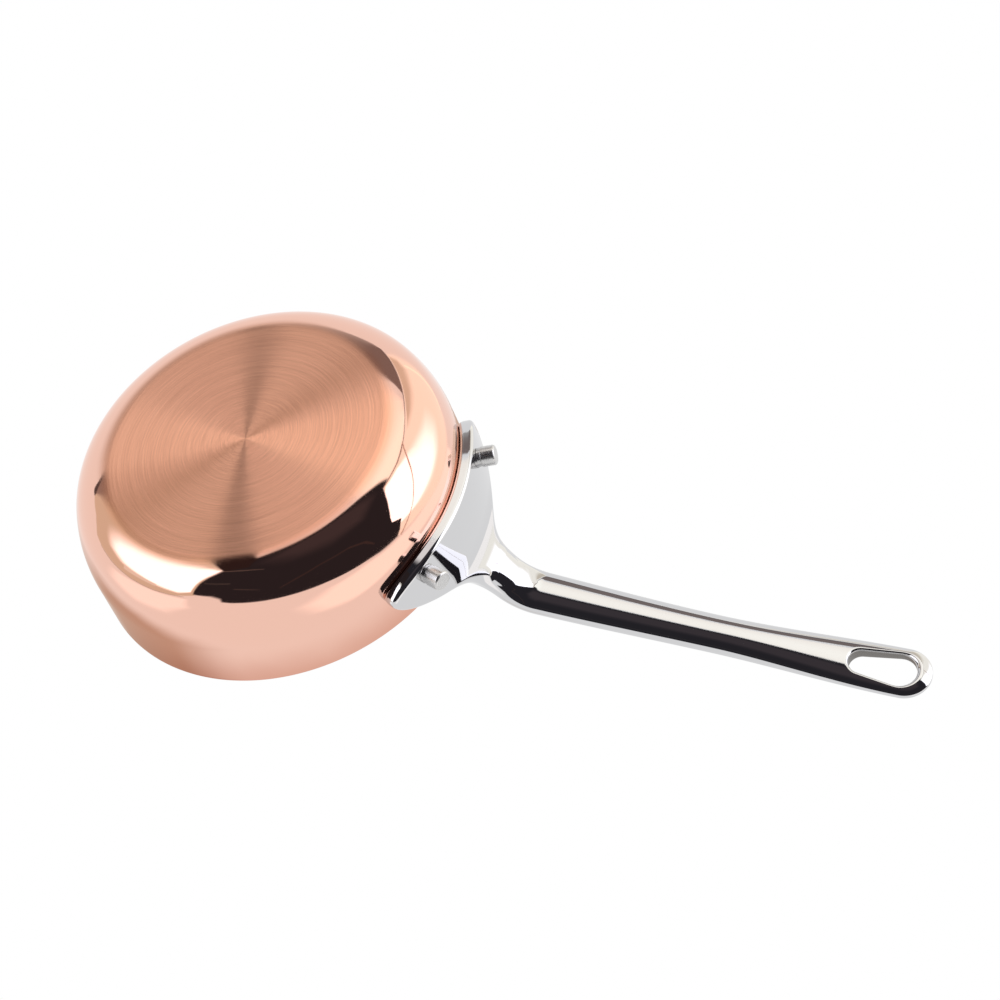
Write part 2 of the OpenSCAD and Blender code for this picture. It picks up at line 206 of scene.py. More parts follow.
studio_bar(
    "camera_strap", (0.05, 0.036, 0.036), 3.5,
    [(27, 60, 1), (29, 52, 2), (34, 46, 2), (44, 44, 2), (52, 46, 2), (58, 49, 1)],
)
studio_sheet(
    "left_lamp", (2.2, 2.2, 2.35), 3.8, (98, 28),
    [
        (76, 19.5, 1), (79, 23, 1), (82, 27, 1), (84, 31, 1), (85.5, 36, 1), (86.5, 41, 1), (91, 43, 4),
        (99, 40.5, 6), (106, 38, 7), (115, 35, 8), (122, 30, 9), (124, 25, 10), (122, 19, 14), (114, 15, 19),
        (105, 13.5, 19), (95, 13.5, 18), (86, 14.5, 12), (79, 17, 4),
    ],
)
studio_bar("left_lamp_bracket", (0.93, 0.9, 0.82), 3.7, [(99.5, 41, 3.5), (106, 39.3, 5), (114, 38, 6)])
studio_sheet(
    "left_box", (0.76, 0.69, 0.56), 4.2, (116, 20),
    [
        (85.5, 44.5, 1.5), (92, 46.5, 1.5), (100, 46.5, 1.5), (110, 45, 1.5), (120, 42, 2), (127, 39, 2),
        (132, 36, 2), (135, 31, 2), (139, 26, 2), (144, 23.5, 2), (149, 20.5, 2), (152, 14, 1.5),
        (154.5, 8, 1.5), (155.5, 3, 1.5), (155, 0.5, 1), (110, 0.5, 1), (80, 2, 1), (79, 10, 2),
        (76, 17.5, 2), (80, 25, 1), (83, 32, 1), (84.7, 40, 1),
    ],
)
studio_bar(
    "left_box_frame", (0.6, 0.56, 0.5), 4.0,
    [(89, 46.8, 1), (100, 46.6, 1.2), (110, 45.2, 1.2), (120, 42.5, 1), (128, 39, 0.6)],
)
studio_sheet(
    "left_box_side", (0.34, 0.27, 0.24), 4.0, (149, 7),
    [
        (157, 0.5, 1), (156, 4, 1), (154, 9, 1), (151.5, 14, 1), (149, 19, 1), (147.5, 19.5, 2), (145, 14, 6),
        (141, 9, 8), (134, 4, 4), (128, 1, 1.5), (140, 0.5, 1),
    ],
)
studio_bar(
    "left_box_pole", (0.1, 0.08, 0.08), 3.4,
    [(154.7, 6, 0.6), (153, 11, 0.8), (151, 15, 1.2), (148.6, 20.5, 2.2), (148, 21.8, 1.2)],
)
studio_sheet(
    "left_bounce", (1.29, 1.27, 1.27), 4.4, (102, 54),
    [
        (88, 49, 4), (97, 48, 3), (108, 47, 4), (118, 48, 8), (118, 57, 14), (107, 66, 14), (96, 67, 12),
        (88, 58, 8),
    ],
)
studio_sheet(
    "right_lamp", (2.2, 2.2, 2.35), 3.8, (6, 50),
    [
        (352, 40, 16), (357, 34, 8), (3, 30.5, 3), (11, 30, 2), (15, 36, 1), (17, 45, 1), (19, 53, 1),
        (20.3, 61, 1), (18, 64.5, 2), (8, 68, 5), (358, 68, 10), (350, 65, 18), (344, 57, 28), (344, 47, 28),
    ],
)
studio_sheet(
    "right_box", (1.27, 1.23, 1.13), 4.2, (345, 48),
    [
        (310, 25.5, 1.5), (316, 25, 1.5), (325, 24.2, 1.5), (335, 24.2, 1.5), (345, 25.2, 1.5), (353, 27, 1),
        (0, 28.3, 1), (11, 28.5, 1), (14.5, 36, 1), (17, 45, 1), (19, 53, 1), (20, 61, 1), (21, 70.5, 1),
        (10, 72.5, 2), (0, 74.5, 3), (350, 75, 4), (342, 73.5, 4), (335, 71, 4), (330, 67.5, 4),
        (325.5, 62, 4), (321, 55, 5), (317, 48, 6), (314, 40, 6), (311, 32, 5),
    ],
)
studio_sheet(
    "right_box_shade", (0.8, 0.72, 0.6), 4.1, (320, 28),
    [
        (311, 26, 2), (318, 25.3, 1.5), (328, 24.8, 1.5), (338, 25, 3), (345, 27, 8), (338, 30, 14),
        (328, 33, 14), (319, 35, 12), (314, 32, 6),
    ],
)
studio_bar(
    "right_box_seam", (1.5, 1.45, 1.25), 4.0,
    [(317, 36, 1), (319, 44, 1.6), (322, 53, 1.8), (327, 62, 1.6), (333, 69, 1)],
)
studio_bar(
    "right_box_frame", (0.19, 0.16, 0.155), 3.4,
    [
        (305, 22.5, 1), (306.5, 24, 2.6), (312, 24.2, 2.2), (320, 23.6, 1.8), (330, 23.3, 1.4),
        (338, 23.4, 0.9), (345, 24.2, 0.8), (353, 26.2, 1),
    ],
)
studio_bar(
    "right_box_hinge", (0.3, 0.22, 0.2), 3.4,
    [(353, 25.8, 1.2), (357, 27.2, 2.2), (1, 28, 2), (7, 28.1, 1.6), (12, 28.6, 1.4)],
)
studio_bar(
    "lamp_cable", (0.55, 0.38, 0.32), 3.4,
    [
        (352.5, 25.5, 0.8), (355, 29.5, 0.8), (357, 34, 0.9), (359, 39, 1.1), (2, 47, 0.7), (6, 56, 0.7),
        (10, 64, 0.7), (14, 69, 1), (19, 71.5, 1.2),
    ],
)
studio_sheet(
    "right_glow", (1.5, 1.47, 1.36), 4.3, (2, 22),
    [
        (338, 23.5, 2), (346, 24.8, 1), (353, 26.5, 1), (0, 27.8, 1), (8, 27.5, 1), (11, 23, 6), (15, 18, 10),
        (10, 14, 24), (0, 13, 24), (350, 14, 24), (341, 18, 18),
    ],
)
studio_sheet(
    "right_stand", (0.24, 0.195, 0.185), 3.5, (314, 14),
    [
        (314, 2, 2), (319, 7, 1.5), (323, 12.5, 1), (326, 17, 1), (329, 20.5, 1), (331, 23, 1),
        (322, 23.8, 1), (312, 24.3, 1), (305, 23.5, 3), (300, 18, 10), (295, 12, 12), (297, 7, 10),
        (305, 3, 6),
    ],
)
studio_sheet(
    "grey_back", (0.48, 0.465, 0.455), 4.6, (230, 3),
    [
        (158, 8, 16), (168, 9, 28), (180, 9.5, 32), (200, 9.5, 34), (220, 9.5, 34), (240, 9.5, 34),
        (255, 9.5, 30), (268, 10.5, 22), (280, 12.5, 14), (290, 15, 8), (298, 19, 6), (304, 23, 4),
        (310, 20, 4), (312, 8, 4), (311, 1, 1), (155, 0.5, 1),
    ],
)
studio_sheet(
    "middle_grey", (1.05, 0.97, 0.94), 4.1, (45, 6),
    [
        (45, 0.3, 0.5), (24, 4, 4), (22, 13, 6), (35, 14, 4), (45, 14, 4), (55, 14, 4), (62.5, 14, 1),
        (62.5, 4, 1),
    ],
)
studio_sheet(
    "upper_gap", (0.03, 0.02, 0.02), 3.5, (72, 9),
    [(72, 0.3, 0.5), (62.5, 4, 1), (62.5, 14, 2), (66, 20, 2), (75, 20, 1), (78, 14, 3), (82, 4, 4)],
)
studio_sheet(
    "left_shade", (0.4, 0.36, 0.3), 4.05, (118, 4),
    [
        (84, 0.4, 0.5), (83, 4, 2), (90, 7, 5), (103, 8, 6), (120, 8, 6), (138, 7, 5), (150, 4, 3),
        (152, 0.4, 1),
    ],
)
studio_sheet(
    "back_gap", (0.04, 0.035, 0.03), 4.0, (252, 3),
    [(252, 0.3, 0.5), (245, 2, 1), (244, 5, 3), (252, 6.5, 5), (260, 5, 3), (259, 2, 1)],
)
studio_sheet(
    "bright_table", (1.33, 1.29, 1.26), 4.4, (22, 75),
    [
        (345, 74.5, 3), (5, 73.5, 4), (20, 72, 3), (32, 70.3, 6), (44, 70, 14), (54, 73, 18), (50, 79, 16),
        (40, 82, 12), (28, 81, 6), (15, 79, 3), (0, 78.5, 3), (345, 78, 3),
    ],
)
studio_sheet(
    "right_room", (1.32, 1.24, 1.14), 4.5, (352, 8),
    [
        (332, 2, 2), (330, 12, 8), (334, 22, 6), (345, 24, 4), (0, 26, 4), (9, 24, 6), (18, 16, 6),
        (21, 8, 6), (20, 0.6, 1), (350, 0.6, 1), (332, 0.6, 1),
    ],
)
studio_sheet(
    "table_shade", (0.6, 0.45, 0.36), 3.9, (115, 89),
    [
        (84, 94, 34), (91, 86, 32), (99, 81, 26), (107, 77, 20), (117, 74, 16), (127, 71, 18), (138, 72, 20),
        (150, 80, 20), (150, 90, 8), (130, 98, 8), (110, 101, 8), (93, 98, 8),
    ],
)

# The body's skin is spun copper: a flat underside that was faced in a lathe, a round corner, a belly and
# a wall that opens slightly to the rim. Outside the faced disc it is polished to a mirror.
mm = 0.001
rim_r, pan_h = 80 * mm, 52 * mm
wall_r = 79.6 * mm
corner_r, belly_r, corner_lean = 21.5 * mm, 48 * mm, radians(21)
copper_t, lining_t, rim_edge = 1.7 * mm, 0.3 * mm, 0.5 * mm
disc_cuts, corner_cuts, belly_cuts, wall_cuts, rim_cuts = 24, 56, 32, 16, 5
belly_z = corner_r * (1 - sin(corner_lean)) + belly_r * sin(corner_lean)
base_r = wall_r - belly_r * (1 - cos(corner_lean)) - corner_r * cos(corner_lean)


def pan_profile(depth, edge=0.0):
    """Radius and height of the pan's surface at a depth under its outside, from the middle to the rim."""
    profile = [(base_r * i / disc_cuts, depth) for i in range(disc_cuts)]
    for i in range(corner_cuts + 1):
        a = -pi / 2 + (pi / 2 - corner_lean) * i / corner_cuts
        profile.append((base_r + (corner_r - depth) * cos(a), corner_r + (corner_r - depth) * sin(a)))
    for i in range(1, belly_cuts + 1):
        a = -corner_lean * (1 - i / belly_cuts)
        profile.append((wall_r - belly_r + (belly_r - depth) * cos(a), belly_z + (belly_r - depth) * sin(a)))
    for i in range(1, wall_cuts + 1):
        t = i / wall_cuts
        profile.append((wall_r + (rim_r - wall_r) * t - depth, belly_z + (pan_h - edge - belly_z) * t))
    return profile


def spin(name, profile, turns=288):
    """A lathe-turned piece: its half section spun about the Z axis. Points on the axis become one point."""
    points, rows, faces = [], [], []
    for r, z in profile:
        if r == 0:
            rows.append([len(points)] * turns)
            points.append((0.0, 0.0, z))
        else:
            rows.append(list(range(len(points), len(points) + turns)))
            points += [(r * cos(2 * pi * k / turns), r * sin(2 * pi * k / turns), z) for k in range(turns)]
    for low, high in zip(rows, rows[1:]):
        for k in range(turns):
            n = (k + 1) % turns
            corners = []
            for corner in (low[k], low[n], high[n], high[k]):
                if corner not in corners:
                    corners.append(corner)
            if len(corners) > 2:
                faces.append(corners)
    mesh = bpy.data.meshes.new(name)
    mesh.from_pydata(points, [], faces)
    mesh.validate()
    piece = bpy.data.objects.new(name, mesh)
    bpy.context.scene.collection.objects.link(piece)
    return piece


crease_angle = radians(30)


def smooth(piece):
    """Smooth shading, but for edges that turn more than the crease angle."""
    piece.data.shade_smooth()
    piece.data.set_sharp_from_angle(angle=crease_angle)


def shade(name, colour, roughness, anisotropy):
    """A bare metal: its material, its node tree and its shader."""
    material = bpy.data.materials.new(name)
    material.use_nodes = True
    tree = material.node_tree
    shader = tree.nodes["Principled BSDF"]
    shader.inputs["Base Color"].default_value = (*colour, 1)
    shader.inputs["Metallic"].default_value = 1.0
    shader.inputs["Roughness"].default_value = roughness
    shader.inputs["Anisotropic"].default_value = anisotropy
    shader.inputs["Anisotropic Rotation"].default_value = 0.25 if anisotropy else 0.0
    return material, tree, shader


def node(tree, kind, settings=None, **inputs):
    """One shader node with its inputs set, or linked where the value is another node's output. An input is
    named, or numbered as i0, i1 and so on."""
    made = tree.nodes.new("ShaderNode" + kind)
    for key, value in (settings or {}).items():
        setattr(made, key, value)
    for key, value in inputs.items():
        numbered = key[0] == "i" and key[1:].isdigit()
        socket = made.inputs[int(key[1:]) if numbered else key.replace("_", " ")]
        if isinstance(value, bpy.types.NodeSocket):
            tree.links.new(value, socket)
        else:
            socket.default_value = value
    return made


def fade(tree, value, low, high, at_low, at_high):
    """A smooth change from one value to another as the input goes from low to high."""
    made = node(tree, "MapRange", {"interpolation_type": "SMOOTHSTEP"}, Value=value)
    for key, number in (("From Min", low), ("From Max", high), ("To Min", at_low), ("To Max", at_high)):
        made.inputs[key].default_value = number
    return made.outputs["Result"]


def maths(tree, operation, a, b):
    """One sum with two inputs, each a number or another node's output."""
    return node(tree, "Math", {"operation": operation}, i0=a, i1=b).outputs["Value"]


def axis_distance(tree, place):
    """How far a place is from the pan's axis."""
    flat = node(tree, "VectorMath", {"operation": "MULTIPLY"}, i0=place, i1=(1, 1, 0))
    return node(tree, "VectorMath", {"operation": "LENGTH"}, i0=flat.outputs["Vector"]).outputs["Value"]


copper_colour, rim_shade_colour = (0.86, 0.53, 0.425), (0.68, 0.345, 0.255)
cut_dark, cut_light = (0.775, 0.385, 0.256), (0.93, 0.475, 0.32)
disc_fade, tint_fade, disc_fade_end = 0.5 * mm, 1 * mm, 6.5 * mm
rim_shade_start, rim_shade_full, haze_h = 37 * mm, 62 * mm, 12 * mm
fine_rings_per_m, broad_rings_per_m, arc_share = 3600, 320, 1.6
wipe_turn, wipe_stretch, mark_depth = (0.4, 0.3, 0.7), (1, 14, 9), 0.02 * mm
spun, tree, metal = shade("spun_copper", copper_colour, 0.05, 1.0)
place = node(tree, "TexCoord").outputs["Object"]
from_axis = axis_distance(tree, place)
on_disc = fade(tree, from_axis, base_r - disc_fade, base_r + disc_fade_end, 1.0, 0.0)
on_tint = fade(tree, from_axis, base_r + tint_fade, base_r + disc_fade_end, 1.0, 0.0)
ways_out = node(tree, "VectorMath", {"operation": "MULTIPLY"}, i0=place, i1=(1, 1, 0)).outputs["Vector"]
ways_out = node(tree, "VectorMath", {"operation": "NORMALIZE"}, i0=ways_out).outputs["Vector"]
arcs = node(tree, "VectorMath", {"operation": "SCALE"}, i0=ways_out, Scale=arc_share).outputs["Vector"]
fine_steps = maths(tree, "MULTIPLY", from_axis, fine_rings_per_m)
step_out = node(tree, "CombineXYZ", Z=fine_steps).outputs["Vector"]
arcs = node(tree, "VectorMath", {"operation": "ADD"}, i0=arcs, i1=step_out).outputs["Vector"]
fine_rings = node(tree, "TexNoise", Vector=arcs, Scale=1.0, Detail=4.0, Roughness=0.65)
broad_steps = maths(tree, "MULTIPLY", from_axis, broad_rings_per_m)
broad_rings = node(tree, "TexNoise", {"noise_dimensions": "1D"}, W=broad_steps, Scale=1.0, Detail=2.0)
haze = node(tree, "TexNoise", Vector=place, Scale=28.0, Detail=3.0)
disc_rough = fade(tree, broad_rings.outputs["Fac"], 0.25, 0.75, 0.2, 0.225)
wall_rough = fade(tree, haze.outputs["Fac"], 0.35, 0.75, 0.03, 0.055)
rough = node(tree, "Mix", {"data_type": "FLOAT"}, Factor=on_disc, i2=wall_rough, i3=disc_rough)
tree.links.new(rough.outputs["Result"], metal.inputs["Roughness"])
ring_tone = fade(tree, fine_rings.outputs["Fac"], 0.3, 0.7, 0.0, 1.0)
tint = node(tree, "Mix", {"data_type": "RGBA"}, Factor=ring_tone)
tint.inputs[6].default_value = (*cut_dark, 1)
tint.inputs[7].default_value = (*cut_light, 1)
# Painted shade: towards the rim the copper's colour turns darker and browner, over a band with a noisy edge.
height = node(tree, "SeparateXYZ", Vector=place).outputs["Z"]
rim_shade_height = maths(tree, "ADD", height, maths(tree, "MULTIPLY", haze.outputs["Fac"], haze_h))
rim_shade_share = fade(tree, rim_shade_height, rim_shade_start, rim_shade_full, 0.0, 1.0)
rim_shaded_tone = node(tree, "Mix", {"data_type": "RGBA"}, Factor=rim_shade_share)
rim_shaded_tone.inputs[6].default_value = (*copper_colour, 1)
rim_shaded_tone.inputs[7].default_value = (*rim_shade_colour, 1)
tone = node(tree, "Mix", {"data_type": "RGBA"}, Factor=on_tint, i6=rim_shaded_tone.outputs[2], i7=tint.outputs[2])
tree.links.new(tone.outputs[2], metal.inputs["Base Color"])
wiped = node(tree, "Mapping", Vector=place, Rotation=wipe_turn, Scale=wipe_stretch).outputs["Vector"]
scratches = node(tree, "TexNoise", Vector=wiped, Scale=160.0, Detail=5.0, Roughness=0.75)
scratch_height = fade(tree, scratches.outputs["Fac"], 0.62, 0.7, 0.0, 1.0)
hairlines = node(tree, "Bump", Strength=0.05, Distance=mark_depth, Height=scratch_height)
cut_marks = node(
    tree, "Bump", Strength=maths(tree, "MULTIPLY", on_disc, 0.28), Distance=mark_depth,
    Height=fine_rings.outputs["Fac"], Normal=hairlines.outputs["Normal"],
)
tree.links.new(cut_marks.outputs["Normal"], metal.inputs["Normal"])
round_axis = node(tree, "Tangent", {"direction_type": "RADIAL", "axis": "Z"})
tree.links.new(round_axis.outputs["Tangent"], metal.inputs["Tangent"])

outside = pan_profile(0, rim_edge)
rim_turns = [pi / 2 * i / rim_cuts for i in range(1, rim_cuts + 1)]
rim_round = [(rim_r - rim_edge * (1 - cos(a)), pan_h - rim_edge * (1 - sin(a))) for a in rim_turns]
inside = pan_profile(copper_t)
copper = spin("copper_body", outside + rim_round + inside[::-1])
smooth(copper)
copper.data.materials.append(spun)
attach(copper, "root")
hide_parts("copper_shell")

# The lining is a thin layer of steel that was bonded to the copper before the pan was spun. Its inside
# was finished in the lathe, which leaves fine rings.
lining = spin("steel_lining_face", pan_profile(copper_t) + pan_profile(copper_t + lining_t)[::-1])
smooth(lining)
lathe_rings_per_m = 2200
satin, tree, metal = shade("satin_steel", (0.62, 0.615, 0.61), 0.28, 0.6)
place = node(tree, "TexCoord").outputs["Object"]
lathe_steps = maths(tree, "MULTIPLY", axis_distance(tree, place), lathe_rings_per_m)
lathe_rings = node(tree, "TexNoise", {"noise_dimensions": "1D"}, W=lathe_steps, Scale=1.0, Detail=3.0)
tree.links.new(fade(tree, lathe_rings.outputs["Fac"], 0.3, 0.7, 0.22, 0.34), metal.inputs["Roughness"])
ring_marks = node(tree, "Bump", Strength=0.2, Distance=mark_depth, Height=lathe_rings.outputs["Fac"])
tree.links.new(ring_marks.outputs["Normal"], metal.inputs["Normal"])
round_axis = node(tree, "Tangent", {"direction_type": "RADIAL", "axis": "Z"})
tree.links.new(round_axis.outputs["Tangent"], metal.inputs["Tangent"])
lining.data.materials.append(satin)
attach(lining, "root")
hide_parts("steel_lining")

# The handle is one steel casting, polished to a mirror. A flange that fits the wall flows into a neck, a
# round grip with a slow arch, and a loop with a teardrop hanging hole. It is swept along one path.
flange_w, flange_t, flange_z = 95 * mm, 5.5 * mm, 26.7 * mm
flange_corner_w, flange_corner_h, flange_fall, fall_power = 35 * mm, 7.5 * mm, 18.7 * mm, 2.2
flange_back_t, flange_back_h, bury, groove_h = 2.5 * mm, 8 * mm, 0.8 * mm, 1 * mm
flange_edge_share, grip_edge_share = 0.8, 0.9
sole_r, sole_draft, back_edge_r, flange_edge_r = 1.5 * mm, radians(8.5), 1.8 * mm, 2.8 * mm
rise, lift_r, lift_turn, neck_l = 20.3 * mm, 38 * mm, radians(33), 8 * mm
crook_r, grip_slope, neck_w, neck_t = 20 * mm, radians(11), 19.4 * mm, 9.4 * mm
nose_h, nose_l, nose_w = 0.8 * mm, 5 * mm, 16 * mm
grip_l, arch_r, waist_w, waist_t = 159 * mm, 1600 * mm, 16.6 * mm, 9 * mm
waist_share, nose_share, join_l = 0.46, 0.78, 5.4 * mm
over_rim_h, let_out_from, let_out_to, least_bend_share = 6 * mm, 4 * mm, 1 * mm, 0.001
loop_w, loop_t, tip_t = 22 * mm, 6.6 * mm, 6 * mm
hole_w, hole_narrow_w, hole_l, lip_r, tip_lip_r = 14.4 * mm, 10.4 * mm, 27 * mm, 1.1 * mm, 2.4 * mm
sole_t = flange_t - back_edge_r
sole_flat_h = (sole_t - sole_r * (1 - sin(sole_draft))) * tan(sole_draft)
sole_h = sole_r * cos(sole_draft) + sole_flat_h
path_r = wall_r + flange_t / 2
neck_s = rise + lift_r * lift_turn
crook_s = neck_s + neck_l
grip_s = crook_s + crook_r * (pi / 2 - lift_turn - grip_slope)
tip_s = grip_s + grip_l
waist_s = grip_s + waist_share * grip_l
loop_s = tip_s - loop_w / 2
hole_s = tip_s - tip_t - hole_l
join_s = hole_s - join_l
nose_s = rise + nose_share * (neck_s - rise)


def turned(start, r, length):
    """Where the path is after an arc of that length: across, up and slope."""
    slope = start[2] - length / r
    return start[0] + r * (sin(start[2]) - sin(slope)), start[1] + r * (cos(slope) - cos(start[2])), slope


def straight(start, run):
    """Where the path is after a straight run."""
    return start[0] + run * cos(start[2]), start[1] + run * sin(start[2]), start[2]


lift_start = (path_r, flange_z + rise, pi / 2)
neck_start = turned(lift_start, lift_r, neck_s - rise)
crook_start = straight(neck_start, neck_l)
grip_start = turned(crook_start, crook_r, grip_s - crook_s)


def path(s):
    """The casting's middle line at a length along it: up the wall, round the neck and out along the grip."""
    if s < rise:
        return path_r, flange_z + s, pi / 2
    if s < neck_s:
        return turned(lift_start, lift_r, s - rise)
    if s < crook_s:
        return straight(neck_start, s - neck_s)
    if s < grip_s:
        return turned(crook_start, crook_r, s - crook_s)
    return turned(grip_start, arch_r, s - grip_s)


def ease(s, a, b):
    """A smooth change from 0 to 1 between two places along the casting."""
    t = min(max((s - a) / (b - a), 0.0), 1.0)
    return t * t * (3 - 2 * t)


def mix(a, b, t):
    """The value between a and b at a share t of the way."""
    return a + (b - a) * t


def half_width(s):
    """Half the casting's width: round corners, a bell-shaped flange, the grip's waist and the loop."""
    if s < flange_corner_h:
        return flange_w / 2 - flange_corner_w * (1 - sin(acos(1 - s / flange_corner_h)))
    if s < waist_s:
        bell = exp(-(((s - flange_corner_h) / flange_fall) ** fall_power))
        return mix(neck_w, waist_w, ease(s, crook_s, waist_s)) / 2 + (flange_w - neck_w) / 2 * bell
    return mix(waist_w, loop_w, ease(s, waist_s, loop_s)) / 2


def edge_drop(inward, wide, deep):
    """How far the surface has dropped at a distance in from its edge."""
    return 0.0 if inward >= wide else deep * (1 - sqrt(max(1 - ((wide - inward) / wide) ** 2, 0.0)))


def sole_drop(inward):
    """How far the flange's face has dropped near its lower edge: a round edge, then a nearly flat sole."""
    if inward >= sole_h:
        return 0.0
    if inward < sole_flat_h:
        return sole_t - inward / tan(sole_draft)
    return sole_r - sqrt(max(sole_r**2 - (sole_h - inward) ** 2, 0.0))


def half_under(s):
    """How far the underside lies from the path's middle line."""
    if s < crook_s:
        crown = 1 - (1 - min(max((s - sole_h) / (neck_s - sole_h), 0.0), 1.0)) ** 3
        return mix(flange_t, neck_t, crown) / 2
    if s < waist_s:
        return mix(neck_t, waist_t, ease(s, grip_s, waist_s)) / 2
    return mix(waist_t, loop_t, ease(s, waist_s, loop_s)) / 2


def half_over(s):
    """The same for the other side, whose flange reaches back to the wall."""
    return half_under(s) + flange_back_t * (1 - ease(s, rise, rise + flange_back_h))


def roundness(s):
    """How far the section has changed from the flat flange's to the round grip's."""
    return ease(s, rise, crook_s)


def edge_wide(s):
    """How wide the section's rounded edges are. Those of the round grip meet in its middle."""
    return mix(flange_edge_r, half_width(s), roundness(s))


def edge_deep(s, half):
    """How deep the section's rounded edges are."""
    return mix(min(flange_edge_r, half * flange_edge_share), half * grip_edge_share, roundness(s))


def nose(s, w):
    """The blunt nose in which the round grip runs out on the flange's flat face."""
    raised = min(max((s - nose_s) / nose_l, 0.0), 1.0) * (1 - ease(s, nose_s + nose_l, grip_s))
    return nose_h * max(raised - (2 * w / nose_w) ** 2, 0.0)


def pan_radius(z):
    """Outer radius of the pan at a height."""
    if z < belly_z:
        return wall_r - belly_r + sqrt(belly_r**2 - (belly_z - z) ** 2)
    return wall_r + (rim_r - wall_r) * min((z - belly_z) / (pan_h - belly_z), 1.0)


def on_casting(s, w, n):
    """A point of the casting: s along the path, w across it, n out of its underside. Where the flange
    lies on the wall, its back is kept just inside the copper."""
    x, z, slope = path(s)
    bend = max(1 - ease(s, rise, grip_s), least_bend_share) / path_r
    out = (1 / bend + n) * cos(w * bend) - 1 / bend
    x, y, z = x + out * sin(slope), (1 / bend + n) * sin(w * bend), z - out * cos(slope)
    if n < 0 and z < pan_h + over_rim_h:
        least = pan_radius(z) - bury * (1 - ease(z, pan_h - let_out_from, pan_h - let_out_to))
        r = hypot(x, y)
        if r < least:
            x, y = x * least / r, y * least / r
    return x, y, z


edge_cuts, face_cuts = 10, 44
face_count = 2 * edge_cuts + face_cuts


def across(s, i):
    """Where the section's points lie across it: close at the flange's edges, and evenly round the grip."""
    w, e = half_width(s), flange_edge_r
    if i <= edge_cuts:
        spot = -w + e * (1 - cos(pi / 2 * i / edge_cuts))
    elif i < edge_cuts + face_cuts:
        spot = (e - w) * cos(pi * (i - edge_cuts) / face_cuts)
    else:
        spot = w - e * (1 - cos(pi / 2 * (face_count - i) / edge_cuts))
    return mix(spot, -w * cos(pi * i / face_count), roundness(s))


def from_outline(s, w):
    """How far a spot of the flange's face is from its outline."""
    past = max(abs(w) - flange_w / 2 + flange_corner_w, 0.0) / flange_corner_w
    below = max(s - flange_corner_h * (1 - sqrt(max(1 - past**2, 0.0))), 0.0)
    beside = max(half_width(s) - abs(w), 0.0)
    return below * beside / max(hypot(below, beside), 1e-9)


def flange_drop(s, w, side_drop):
    """The drop of the flange's outer face, which has the sole's shape below and its plain edge further up."""
    return mix(max(side_drop, sole_drop(from_outline(s, w))), side_drop, ease(s, flange_corner_h, rise))


def back_drop(s, w, half, side_drop):
    """The drop of the flange's back, whose rounded edge leaves a fine groove next to the copper."""
    inward = from_outline(s, w)
    sunk = half - flange_t / 2
    raised = sunk * ease(inward, back_edge_r, back_edge_r + groove_h)
    drop = sunk + edge_drop(inward, back_edge_r, back_edge_r) - raised
    return mix(max(side_drop, drop), side_drop, ease(s, flange_corner_h, rise))


def section_side(s, side):
    """One row of the casting's points, on its underside or on its other side."""
    row = []
    half = half_under(s) if side > 0 else half_over(s)
    for i in range(face_count + 1):
        w = across(s, i)
        more = nose(s, w) if side > 0 else 0.0
        drop = edge_drop(half_width(s) - abs(w), edge_wide(s), edge_deep(s, half))
        if s < rise:
            drop = flange_drop(s, w, drop) if side > 0 else back_drop(s, w, half, drop)
        row.append(on_casting(s, w, side * (half + more - drop)))
    return row


corner_rows, flange_rows, neck_rows, grip_rows = 40, 20, 120, 64
stations = [flange_corner_h * (1 - cos(pi / 2 * i / corner_rows)) for i in range(corner_rows)]
stations += [mix(flange_corner_h, rise, i / flange_rows) for i in range(flange_rows)]
stations += [mix(rise, grip_s, i / neck_rows) for i in range(neck_rows)]
stations += [mix(grip_s, join_s, i / grip_rows) for i in range(grip_rows + 1)]
casting_points = []
for s in stations:
    casting_points += section_side(s, 1) + section_side(s, -1)[::-1]
ring = 2 * (face_count + 1)
last_ring = (len(stations) - 1) * ring

# The loop is a sheet on each side, in rings from its outline in to the hole's rounded lip. The outline
# starts across the grip, goes down one side, round the tip and up the other.
side_cuts, tip_cuts, ring_cuts, lip_cuts = 24, 48, 22, 7
wide_r, narrow_r = hole_w / 2, hole_narrow_w / 2
wide_s, narrow_s = tip_s - tip_t - wide_r, hole_s + narrow_r
hole_turn = pi / 2 + asin((wide_r - narrow_r) / (wide_s - narrow_s))
tip_from, tip_to = face_count + side_cuts, face_count + side_cuts + tip_cuts
outline_count = tip_to + side_cuts


def outline(k):
    """Where the loop's outline starts, at the grip's last row, and how it goes on round the tip."""
    if k <= face_count:
        return join_s, across(join_s, k)
    if k <= tip_from:
        s = mix(join_s, loop_s, (k - face_count) / side_cuts)
        return s, half_width(s)
    if k < tip_to:
        a = pi / 2 - pi * (k - tip_from) / tip_cuts
        return loop_s + loop_w / 2 * cos(a), loop_w / 2 * sin(a)
    s = mix(loop_s, join_s, (k - tip_to) / side_cuts)
    return s, -half_width(s)


def tip_angle(k):
    """The angle round the hole's wide end."""
    return mix(hole_turn, -hole_turn, (k - tip_from) / tip_cuts)


def lip(k):
    """The lip's radius, which grows towards the tip."""
    return mix(lip_r, tip_lip_r, max(cos(tip_angle(k)), 0.0)) if tip_from < k < tip_to else lip_r


